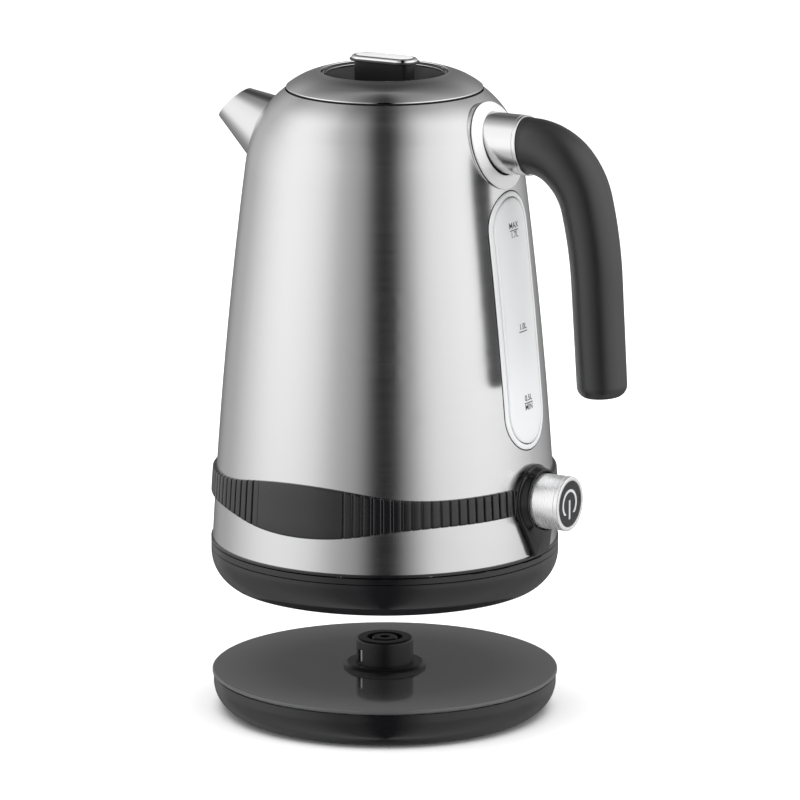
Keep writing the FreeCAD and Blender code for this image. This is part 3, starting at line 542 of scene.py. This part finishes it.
def add_button():
    """The button's barrel, with a fine groove behind its face."""
    radius = BUTTON_RADIUS
    inner = radius - BUTTON_WALL
    groove = BUTTON_FACE - 2.3 * MM
    outline = rounded([
        (inner, BUTTON_BACK),
        (radius, BUTTON_BACK),
        (radius, groove - 0.3 * MM),
        (radius - BUTTON_GROOVE, groove - 0.2 * MM),
        (radius - BUTTON_GROOVE, groove + 0.2 * MM),
        (radius, groove + 0.3 * MM),
        (radius, BUTTON_FACE, 0.7 * MM),
        (inner, BUTTON_FACE, 0.25 * MM),
    ])
    lathe("knob_barrel", outline, KNOB_STEEL, "button", ["power_knob"],
          place=facing_x(0, BUTTON_RISE))


# ---------------------------------------------------------------- handle sleeve

SLEEVE_RADIUS = 13.6 * MM
SLEEVE_WALL = 1.2 * MM
SLEEVE_GROOVE = 0.25 * MM
SLEEVE_START = 50 * MM
SLEEVE_LEAN = math.tan(math.radians(7.5))


def add_sleeve():
    """A tube whose end leans back, with a fine groove just before the grip."""
    # (distance back from the leaning end, or None at the start, and how far in from the outside)
    rows = [(0.0, SLEEVE_WALL), (0.0, 0.2 * MM), (0.2 * MM, 0.0), (1.3 * MM, 0.0),
            (1.4 * MM, SLEEVE_GROOVE), (1.7 * MM, SLEEVE_GROOVE), (1.8 * MM, 0.0), (8 * MM, 0.0),
            (None, 0.0), (None, SLEEVE_WALL)]
    steps = 160
    rings = []
    for back, inset in rows:
        radius = SLEEVE_RADIUS - inset
        ring = []
        for step in range(steps):
            angle = TURN * step / steps
            rise = radius * math.sin(angle)
            out = SLEEVE_START if back is None else SLEEVE_END - SLEEVE_LEAN * rise - back
            ring.append((out, radius * math.cos(angle), HANDLE_RISE + rise))
        rings.append(ring)
    points, faces = stack_rings(rings + [rings[0]], closed_ends=False)
    finish_piece("sleeve_shown", mesh_from("sleeve_shown", points, faces), STEEL_X, "kettle",
                 ["handle_sleeve"])


# ---------------------------------------------------------------- handle mount

FLANGE_REACH = 57.6 * MM
FLANGE_RISE = KETTLE_BOTTOM + 207.1 * MM
FLANGE_TILT = 18.0
COLLAR_HOLE = 14.9 * MM
FLANGE_RADIUS = 20.6 * MM


def add_mount_gaps():
    """Dark rings of painted shade in the gap round the sleeve and inside the flange's rim, and the
    collar's lip.
    """
    place = facing_x(FLANGE_REACH, FLANGE_RISE, -FLANGE_TILT)
    lip = COLLAR_HOLE - 0.7 * MM
    # each ring lies between two radii, with its top at a level above the flange's middle
    thick = 1.0 * MM
    # the sleeve's and the flange's black rings are painted shade, dark sheets where the gaps would be
    # in shadow; the collar's lip is real steel
    for name, inner, outer, level, look, slot_name in (
            ("sleeve_gap_shade", SLEEVE_RADIUS - 0.8 * MM, lip, 1.9 * MM, SHADOW, "black_satin"),
            ("collar_lip", lip, COLLAR_HOLE - 0.05 * MM, 2.6 * MM, SATIN_STEEL, "steel_bright"),
            ("flange_gap_shade", FLANGE_RADIUS - 1.5 * MM, FLANGE_RADIUS - 0.4 * MM, 0.15 * MM,
             SHADOW, "black_satin")):
        outline = [Vector((inner, level - thick)), Vector((outer, level - thick)),
                   Vector((outer, level)), Vector((inner, level))]
        lathe(name, outline, look, "kettle", place=place)


# ---------------------------------------------------------------- lid

LID_EDGE = high("lid_shell").x
LID_FOOT = low("lid_shell").z
DISH_EDGE = 29.7 * MM
DISH_RISE = high("lid_shell").z
DOME_CURVE = 35.2 * MM
DOME_SKIN = 0.9 * MM
LID_STEPS = 240
CAP_LOW = low("grip_cap").z
CAP_TOP = high("grip_cap").z
CAP_LONG = high("grip_cap").x
CAP_WIDE = high("grip_cap").y


def bead(name, radius, height, thick):
    """A polished round wire that lies round the lid."""
    steps = 12
    outline = [Vector((radius + thick * math.cos(TURN * step / steps),
                       height + thick * math.sin(TURN * step / steps))) for step in range(steps)]
    lathe(name, outline, CHROME, "lid", segments=LID_STEPS)


def add_lid():
    """The lid's dome, the beads on it and a dark ring of painted shade under its edge."""
    foot = Vector((LID_EDGE - 0.1 * MM, LID_FOOT + 1.2 * MM))
    crest = Vector((DISH_EDGE + 0.5 * MM, DISH_RISE - 0.25 * MM))
    dome = arc_points(foot, crest, DOME_CURVE, 24)
    outline = [Vector((LID_EDGE - 1.4 * MM, LID_FOOT + 0.7 * MM)),
               Vector((LID_EDGE - 0.7 * MM, LID_FOOT + 0.7 * MM))]
    outline += dome
    outline += [crest, Vector((DISH_EDGE + 0.15 * MM, DISH_RISE - 0.05 * MM)),
                Vector((DISH_EDGE - 0.15 * MM, DISH_RISE - 0.05 * MM)),
                Vector((DISH_EDGE - 0.45 * MM, DISH_RISE - 0.25 * MM)),
                Vector((DISH_EDGE - 0.6 * MM, DISH_RISE - 0.7 * MM)),
                Vector((DISH_EDGE - 0.6 * MM, DISH_RISE - 2.4 * MM))]
    outline += [point - Vector((DOME_SKIN * 0.6, DOME_SKIN)) for point in reversed(dome)]
    lathe("lid_dome", outline, STEEL, "lid", ["lid_shell"], segments=LID_STEPS)

    # polished beads: one along the lid's lower edge and one on the rim of the dish
    bead("lid_foot_bead", LID_EDGE - 0.52 * MM, LID_FOOT + 0.92 * MM, 0.5 * MM)
    bead("dish_rim_bead", DISH_EDGE - 0.35 * MM, DISH_RISE - 0.44 * MM, 0.42 * MM)
    # a dark ring of painted shade that shows in the gap between lid and body
    gap_shade = [Vector((LID_EDGE - 1.6 * MM, LID_FOOT + 0.05 * MM)),
            Vector((LID_EDGE - 0.15 * MM, LID_FOOT + 0.05 * MM)),
            Vector((LID_EDGE - 0.15 * MM, LID_FOOT + 0.55 * MM)),
            Vector((LID_EDGE - 1.6 * MM, LID_FOOT + 0.55 * MM))]
    lathe("lid_gap_shade", gap_shade, SHADOW, "lid", segments=LID_STEPS)

    # two fine beads round the dish, below the rim of the dome
    ring_top = DISH_RISE - 0.9 * MM
    beads = rounded([
        (26.9 * MM, ring_top - 2.2 * MM),
        (28.2 * MM, ring_top - 2.2 * MM),
        (28.2 * MM, ring_top, 0.25 * MM),
        (27.65 * MM, ring_top, 0.25 * MM),
        (27.5 * MM, ring_top - 0.7 * MM),
        (27.4 * MM, ring_top - 0.3 * MM, 0.2 * MM),
        (26.9 * MM, ring_top - 0.3 * MM, 0.2 * MM),
    ])
    lathe("lid_beads", beads, CHROME, "lid", ["lid_trim_ring"], segments=LID_STEPS)


def rounded_loop(long, wide, corner, height):
    """A level loop of points round a block with rounded upright edges."""
    steps = 12
    loop = []
    for quarter, (side, end) in enumerate(((1, 1), (-1, 1), (-1, -1), (1, -1))):
        for step in range(steps + 1):
            angle = (quarter + step / steps) * TURN / 4
            loop.append((side * (long - corner) + corner * math.cos(angle),
                         end * (wide - corner) + corner * math.sin(angle), height))
    return loop


CAP_CORNER = 7.6 * MM


def add_cap():
    """The cap on the lid's grip: a black plate, the polished cap and a satin inlay."""
    plate_top = CAP_LOW + 0.9 * MM
    # each row is (inset in millimetres, height)
    plate = [(1.2, CAP_LOW), (0.3, CAP_LOW + 0.1 * MM), (0.0, CAP_LOW + 0.4 * MM),
             (0.1, plate_top - 0.1 * MM), (0.4, plate_top)]
    # the cap has a shallow recess on top, where the inlay lies
    cap = [(0.9, plate_top), (0.8, plate_top + 0.15 * MM), (0.8, plate_top + 0.5 * MM),
           (1.0, CAP_TOP - 0.75 * MM), (1.5, CAP_TOP - 0.35 * MM), (2.2, CAP_TOP - 0.08 * MM),
           (2.6, CAP_TOP), (2.9, CAP_TOP - 0.05 * MM), (3.0, CAP_TOP - 0.3 * MM)]
    inlay = [(3.05, CAP_TOP - 0.5 * MM), (3.05, CAP_TOP - 0.15 * MM), (3.2, CAP_TOP - 0.08 * MM)]
    for name, rows, look, slot_name, replaced in (
            ("cap_plate", plate, SATIN, "black_satin", []),
            ("cap_polished", cap, CHROME, "steel_bright", ["grip_cap"]),
            ("cap_inlay", inlay, SATIN_STEEL, "steel_body", ["grip_inlay"])):
        rings = [rounded_loop(CAP_LONG - inset * MM, CAP_WIDE - inset * MM,
                              CAP_CORNER - inset * MM, height) for inset, height in rows]
        points, faces = stack_rings(rings)
        finish_piece(name, mesh_from(name, points, faces, FINE_ANGLE), look, "lid", replaced)


# ---------------------------------------------------------------- level window

WINDOW_HALF = 17.5 * MM
WINDOW_LOW = KETTLE_BOTTOM + 69.0 * MM
WINDOW_HIGH = KETTLE_BOTTOM + 187.0 * MM
LENS_PROUD = 1.0 * MM
PRINT_THICK = 0.03 * MM
# from the window's edge inwards: (inset, proud of the wall), millimetres
WINDOW_ROWS = [(0.15, -0.6), (0.15, 0.1), (0.35, 0.40), (0.8, 0.55), (2.2, 0.60), (2.5, 0.45),
               (2.6, -0.1), (3.0, -0.1), (3.1, 0.5), (3.5, 0.8), (4.4, 0.95), (5.4, 1.0),
               (8.0, 1.0), (11.0, 1.0), (14.0, 1.0), (16.5, 1.0), (17.5, 1.0)]
# dark ring of painted shade over the gap between the lens and the wall
WINDOW_GAP_SHADE = [(-0.35, -0.2), (-0.35, 0.04), (0.3, 0.04), (0.3, -0.2)]
# dark strip of painted shade laid in the groove inside the lens's rim
LENS_GROOVE_SHADE = [(2.55, -0.3), (2.55, 0.02), (3.05, 0.02), (3.05, -0.3)]


def on_wall(across, height, proud):
    """A point on the wall's +X side, or proud of it."""
    return math.sqrt((wall_radius(height) + proud) ** 2 - across ** 2), across, height


def capsule_ring(inset, proud):
    """A loop on the wall round the window, moved inwards from its edge."""
    half = WINDOW_HALF - inset
    bends = 24
    uprights = 40
    upper = WINDOW_HIGH - WINDOW_HALF
    lower = WINDOW_LOW + WINDOW_HALF
    loop = []
    for middle, first in ((upper, 0.0), (lower, math.pi)):
        for step in range(bends + 1):
            angle = first + math.pi * step / bends
            loop.append((half * math.cos(angle), middle + half * math.sin(angle)))
        side = -half if first == 0.0 else half
        way = lower - upper if first == 0.0 else upper - lower
        for step in range(1, uprights):
            loop.append((side, middle + way * step / uprights))
    return [on_wall(across, height, proud) for across, height in loop]


def add_window():
    """The level window's lens, a dark ring of painted shade in the gap round it and a dark strip of
    painted shade in the groove inside its rim.
    """
    # the gap ring and the groove strip are painted shade: dark sheets where the recesses would be in
    # shadow
    for name, rows, look, slot_name, replaced in (
            ("window_lens", WINDOW_ROWS, CLEAR, "clear", ["water_window"]),
            ("window_gap_shade", WINDOW_GAP_SHADE, SHADOW, "black_satin", []),
            ("lens_groove_shade", LENS_GROOVE_SHADE, PRINT, "black_satin", [])):
        rings = [capsule_ring(inset * MM, proud * MM) for inset, proud in rows]
        points, faces = stack_rings(rings, closed_ends=False)
        mesh = mesh_from(name, points, faces, FINE_ANGLE)
        finish_piece(name, mesh, look, "kettle", replaced)


# ---------------------------------------------------------------- gauge marks on the window

# in millimetres: (words, height above the kettle's bottom, letter size)
GAUGE_WORDS = [("MAX", 171.5, 3.8), ("1.7L", 167.3, 3.8), ("1.0L", 125.5, 3.8),
               ("0.5L", 92.9, 3.8), ("MIN", 88.7, 3.8)]
# in millimetres: (height, half length, thickness)
GAUGE_LINES = [(169.4, 3.6, 0.45), (123.3, 3.6, 0.45), (90.7, 3.6, 0.45)]


def printed(name, words, size):
    """Flat lettering as a mesh in its own XY plane, centred."""
    curve = bpy.data.curves.new(name, "FONT")
    curve.body = words
    curve.size = size
    curve.offset = 0.05 * MM
    curve.align_x = "CENTER"
    curve.align_y = "CENTER"
    holder = bpy.data.objects.new(name, curve)
    bpy.context.collection.objects.link(holder)
    bpy.context.view_layer.update()
    flat = bpy.data.meshes.new_from_object(holder)
    bpy.data.objects.remove(holder)
    bpy.data.curves.remove(curve)
    return flat


def add_gauge():
    """Lines and numbers printed just proud of the lens."""
    shapes = []
    for words, rise, size in GAUGE_WORDS:
        flat = printed("gauge_words", words, size * MM)
        corners = [(vertex.co.x, rise * MM + vertex.co.y) for vertex in flat.vertices]
        shapes.append((corners, [tuple(face.vertices) for face in flat.polygons]))
        bpy.data.meshes.remove(flat)
    for rise, half, thick in GAUGE_LINES:
        steps = 8
        corners = [(-half * MM + 2 * half * MM * step / steps, (rise + side * thick / 2) * MM)
                   for side in (-1, 1) for step in range(steps + 1)]
        faces = [(step, step + 1, step + steps + 2, step + steps + 1) for step in range(steps)]
        shapes.append((corners, faces))
    points = []
    faces = []
    for corners, shape_faces in shapes:
        start = len(points)
        for across, rise in corners:
            points.append(on_wall(across, KETTLE_BOTTOM + rise, LENS_PROUD + PRINT_THICK))
        faces += [tuple(start + index for index in face) for face in shape_faces]
    mesh = bpy.data.meshes.new("gauge_print")
    mesh.from_pydata(points, [], faces)
    finish_piece("gauge_print", mesh, PRINT, "kettle")


# ---------------------------------------------------------------- floor, light and camera

CAMERA_SIDE = math.radians(30)
CAMERA_REACH = 2.97
CAMERA_RISE = 0.818
CAMERA_LENS = 299.0
AIM_SIDE = 7.0 * MM
AIM_RISE = 144.4 * MM
FLOOR_REACH = 40.0
LIGHT_RISE = 3.0
LIGHT_SIZE = 4.0
LIGHT_POWER = 150.0
BACK = Vector((math.sin(CAMERA_SIDE), -math.cos(CAMERA_SIDE), 0))
RIGHT = Vector((math.cos(CAMERA_SIDE), math.sin(CAMERA_SIDE), 0))


def add_floor():
    """A plain pale floor, which shows in no reflection."""
    reach = FLOOR_REACH
    mesh = bpy.data.meshes.new("floor")
    mesh.from_pydata([(-reach, -reach, 0), (reach, -reach, 0), (reach, reach, 0), (-reach, reach, 0)],
                     [], [(0, 1, 2, 3)])
    floor = bpy.data.objects.new("floor", mesh)
    bpy.context.collection.objects.link(floor)
    graph = Graph("floor_pale")
    cloud = graph.noise(graph.place(), 2.5, 2.0)
    graph.surface(Base_Color=(0.93, 0.93, 0.93, 1), Specular_IOR_Level=0.0,
                  Roughness=graph.spread(cloud, 0.75, 0.85))
    mesh.materials.append(graph.material)
    floor.visible_glossy = False


# brightness of the studio around the object: degrees to the camera's right, and the level
STUDIO = [
    (-180, 0.24), (-172, 0.26), (-164, 0.36), (-148, 0.66), (-132, 0.74), (-118, 0.98), (-104, 1.24),
    (-86, 1.46), (-60, 1.36), (-47, 1.12), (-36, 0.76), (-28, 0.62), (-19, 0.50),
    (-13, 0.28), (-9, 0.09), (-6, 0.0), (6, 0.0), (9, 0.09), (13, 0.32), (19, 0.56),
    (25, 0.90), (34, 1.20), (50, 1.34), (75, 1.46), (98, 1.34), (120, 0.95),
    (140, 0.70), (160, 0.42), (172, 0.26), (179, 0.24),
]
# the ramp's levels stop at 1, so they are divided by the peak and multiplied by it again
STUDIO_PEAK = 1.5
# how bright the ceiling and the ground are, as shares of the walls
CEILING = 0.26
GROUND = 0.50


def add_studio():
    """The world: bright and dark walls that the steel mirrors, and plain white to the camera."""
    world = bpy.data.worlds.new("studio")
    bpy.context.scene.world = world
    world.use_nodes = True
    world.node_tree.nodes.clear()
    nodes = Nodes(world.node_tree)
    way = nodes.add("ShaderNodeTexCoord").outputs["Generated"]
    height = nodes.add("ShaderNodeSeparateXYZ", Vector=way).outputs["Z"]

    def along(direction):
        return nodes.add("ShaderNodeVectorMath", {"operation": "DOT_PRODUCT"},
                         i0=way, i1=direction).outputs["Value"]

    def smooth_range(value, start, end, first, last):
        return nodes.add("ShaderNodeMapRange", {"interpolation_type": "SMOOTHSTEP"}, Value=value,
                         From_Min=start, From_Max=end, To_Min=first, To_Max=last).outputs["Result"]

    side = along(RIGHT)
    ahead = along(BACK)
    # high up, the dark strip ahead runs on over the top
    steep = nodes.math("MAXIMUM", nodes.math("SUBTRACT", height, 0.3), 0.0)
    bent = nodes.math("ADD", ahead, nodes.math("MULTIPLY", steep, 0.7))
    angle = nodes.math("ARCTAN2", side, bent)
    share = nodes.math("ADD", nodes.math("DIVIDE", angle, TURN), 0.5)
    ramp = nodes.add("ShaderNodeValToRGB", Fac=share)
    ramp.color_ramp.interpolation = "CARDINAL"
    stops = ramp.color_ramp.elements
    for index, (degrees, level) in enumerate(STUDIO):
        where = (degrees + 180) / 360
        stop = stops[index] if index < 2 else stops.new(where)
        stop.position = where
        tone = level / STUDIO_PEAK
        stop.color = (tone, tone, tone, 1)

    # the ceiling behind the object and the floor under it are darker than the walls
    behind = nodes.math("SUBTRACT", height, nodes.math("MULTIPLY", ahead, 0.5))
    ceiling = smooth_range(behind, 0.72, 1.12, STUDIO_PEAK, CEILING * STUDIO_PEAK)
    high_up = smooth_range(height, 0.35, 0.60, 0.0, 1.0)
    darker = nodes.math("MULTIPLY", high_up, nodes.math("SUBTRACT", ceiling, STUDIO_PEAK))
    over = nodes.math("ADD", STUDIO_PEAK, darker)
    under = smooth_range(height, -0.45, 0.0, GROUND, 1.0)
    brightness = nodes.math("MULTIPLY", ramp.outputs["Color"], nodes.math("MULTIPLY", over, under))

    seen = nodes.add("ShaderNodeLightPath").outputs["Is Camera Ray"]
    walls = nodes.add("ShaderNodeBackground", Strength=brightness).outputs["Background"]
    plain = nodes.add("ShaderNodeBackground", Color=(0.97, 0.97, 0.97, 1)).outputs["Background"]
    mix = nodes.add("ShaderNodeMixShader", i0=seen, i1=walls, i2=plain).outputs["Shader"]
    nodes.add("ShaderNodeOutputWorld", Surface=mix)


def add_light():
    """A wide soft light straight above, which shows in no reflection."""
    data = bpy.data.lights.new("overhead", "AREA")
    data.shape = "DISK"
    data.size = LIGHT_SIZE
    data.energy = LIGHT_POWER
    light = bpy.data.objects.new("overhead", data)
    bpy.context.collection.objects.link(light)
    light.location = (0, 0, LIGHT_RISE)
    light.visible_glossy = False
    light.visible_camera = False


def add_camera():
    """A long lens that looks a little down at the object, from in front and to its right."""
    data = bpy.data.cameras.new("camera")
    data.sensor_width = 36
    data.lens = CAMERA_LENS
    data.clip_start = 0.05
    data.clip_end = 200
    camera = bpy.data.objects.new("camera", data)
    bpy.context.collection.objects.link(camera)
    camera.location = BACK * CAMERA_REACH + Vector((0, 0, CAMERA_RISE))
    aim = RIGHT * AIM_SIDE + Vector((0, 0, AIM_RISE))
    camera.rotation_mode = "QUATERNION"
    camera.rotation_quaternion = (aim - camera.location).to_track_quat("-Z", "Y")
    bpy.context.scene.camera = camera


dress_frame()
add_band()
add_bezel()
add_button()
add_sleeve()
add_mount_gaps()
add_lid()
add_cap()
add_window()
add_gauge()
add_floor()
add_studio()
add_light()
add_camera()
bpy.context.scene.view_settings.view_transform = "Standard"
